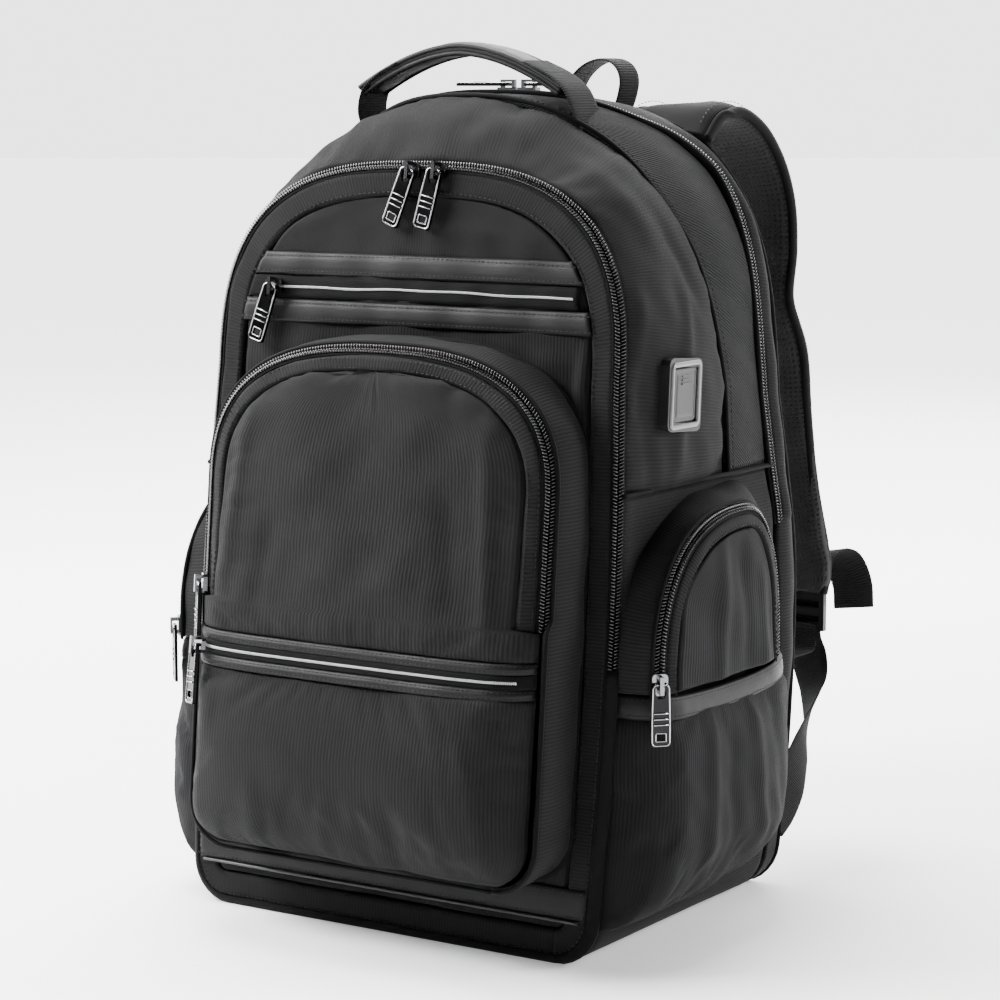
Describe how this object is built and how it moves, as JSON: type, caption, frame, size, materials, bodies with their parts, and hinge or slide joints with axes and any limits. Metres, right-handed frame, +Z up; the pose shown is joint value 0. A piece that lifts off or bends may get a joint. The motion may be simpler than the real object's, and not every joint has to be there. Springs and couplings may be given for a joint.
{
  "type": "laptop backpack",
  "caption": "Upright cloth backpack with a box pocket in front, a pocket on each side, a carrying handle, padded shoulder straps and hinged zip pulls.",
  "frame": {"origin": "middle of the flat base on the floor", "axes": "+Z up, -Y the front with the box pocket, +X the side with the charging port, the right of a person looking at the front"},
  "size_m": [0.36, 0.4095, 0.509],
  "materials": {
    "nylon": "fine ribbed nylon, soft sheen",
    "twill": "coarse diagonal twill",
    "back_mesh": "air mesh over padding",
    "leatherette": "satin grained leatherette",
    "webbing": "ribbed webbing",
    "binding": "woven binding tape",
    "coil": "black coil zip",
    "silver_coil": "silver coated coil zip",
    "strap_cloth": "smooth cloth over foam",
    "plastic": "moulded plastic",
    "port_rim": "silver grey moulded plastic",
    "rubber": "soft cover",
    "slider_metal": "bright plated zinc",
    "pull_metal": "gunmetal plated zinc"
  },
  "bodies": {
    "bag": {"upper_gusset": "nylon", "twill_band": "twill", "lower_gusset": "nylon", "rear_gusset": "nylon", "front_zipper": "coil", "corner_binding": "binding", "rear_zipper": "coil", "front_panel": "nylon", "back_panel": "back_mesh", "organizer_strip_upper": "leatherette", "organizer_strip_lower": "leatherette", "base_trim": "leatherette", "organizer_zipper": "silver_coil", "pocket_face": "nylon", "pocket_strip": "leatherette", "pocket_lower_zipper": "silver_coil", "pocket_gusset": "nylon", "pocket_zipper": "coil", "side_gusset_right": "nylon", "side_gusset_left": "nylon", "side_zipper_right": "coil", "side_zipper_left": "coil", "side_face_right": "nylon", "side_face_left": "nylon", "side_slip_right": "nylon", "side_slip_left": "nylon", "side_hem_right": "leatherette", "side_hem_left": "leatherette", "handle_grip": "leatherette", "handle_web_left": "webbing", "handle_web_right": "webbing", "shoulder_strap_right": "strap_cloth", "shoulder_strap_left": "strap_cloth", "ladder_lock_right": "plastic", "ladder_lock_left": "plastic", "corner_tape_right": "webbing", "corner_tape_left": "webbing", "back_tape_right": "webbing", "back_tape_left": "webbing", "hang_loop": "webbing", "port_frame": "port_rim", "port_cover": "rubber", "slider_front_left": "slider_metal", "slider_front_right": "slider_metal", "slider_organizer": "slider_metal", "slider_pocket_arch": "slider_metal", "slider_pocket_lower": "slider_metal", "slider_side_right": "slider_metal", "slider_side_left": "slider_metal", "slider_rear_left": "slider_metal", "slider_rear_right": "slider_metal"},
    "pull_front_left": {"pull_front_left": "pull_metal"},
    "pull_front_right": {"pull_front_right": "pull_metal"},
    "pull_organizer": {"pull_organizer": "pull_metal"},
    "pull_pocket_arch": {"pull_pocket_arch": "pull_metal"},
    "pull_pocket_lower": {"pull_pocket_lower": "pull_metal"},
    "pull_side_right": {"pull_side_right": "pull_metal"},
    "pull_side_left": {"pull_side_left": "pull_metal"},
    "pull_rear_left": {"pull_rear_left": "pull_metal"},
    "pull_rear_right": {"pull_rear_right": "pull_metal"}
  },
  "joints": [
    {"name": "front_left_pull_hinge", "type": "hinge", "parent": "bag", "child": "pull_front_left", "pos_m": [-0.004, -0.06942, 0.43642], "axis": [-0.9397, 0.0313, 0.3406], "range_deg": [0, 120]},
    {"name": "front_right_pull_hinge", "type": "hinge", "parent": "bag", "child": "pull_front_right", "pos_m": [0.014, -0.06942, 0.43642], "axis": [-0.9744, 0.0206, 0.224], "range_deg": [0, 120]},
    {"name": "organizer_pull_hinge", "type": "hinge", "parent": "bag", "child": "pull_organizer", "pos_m": [-0.096, -0.07792, 0.36792], "axis": [-0.9563, 0.0268, 0.2911], "range_deg": [0, 120]},
    {"name": "pocket_arch_pull_hinge", "type": "hinge", "parent": "bag", "child": "pull_pocket_arch", "pos_m": [-0.11402, -0.12591, 0.19689], "axis": [-0.7056, 0.7056, -0.0649], "range_deg": [0, 120]},
    {"name": "pocket_lower_pull_hinge", "type": "hinge", "parent": "bag", "child": "pull_pocket_lower", "pos_m": [-0.10337, -0.14409, 0.16458], "axis": [-0.8636, 0.4986, -0.0748], "range_deg": [0, 120]},
    {"name": "side_right_pull_hinge", "type": "hinge", "parent": "bag", "child": "pull_side_right", "pos_m": [0.16972, -0.08072, 0.1596], "axis": [-0.7071, -0.7071, 0], "range_deg": [0, 120]},
    {"name": "side_left_pull_hinge", "type": "hinge", "parent": "bag", "child": "pull_side_left", "pos_m": [-0.16972, -0.08072, 0.1596], "axis": [-0.7071, 0.7071, 0], "range_deg": [0, 120]},
    {"name": "rear_left_pull_hinge", "type": "hinge", "parent": "bag", "child": "pull_rear_left", "pos_m": [0.0018, 0.026, 0.48415], "axis": [0, 1, 0], "range_deg": [0, 95]},
    {"name": "rear_right_pull_hinge", "type": "hinge", "parent": "bag", "child": "pull_rear_right", "pos_m": [0.0162, 0.026, 0.48415], "axis": [0, -1, 0], "range_deg": [0, 95]}
  ]
}
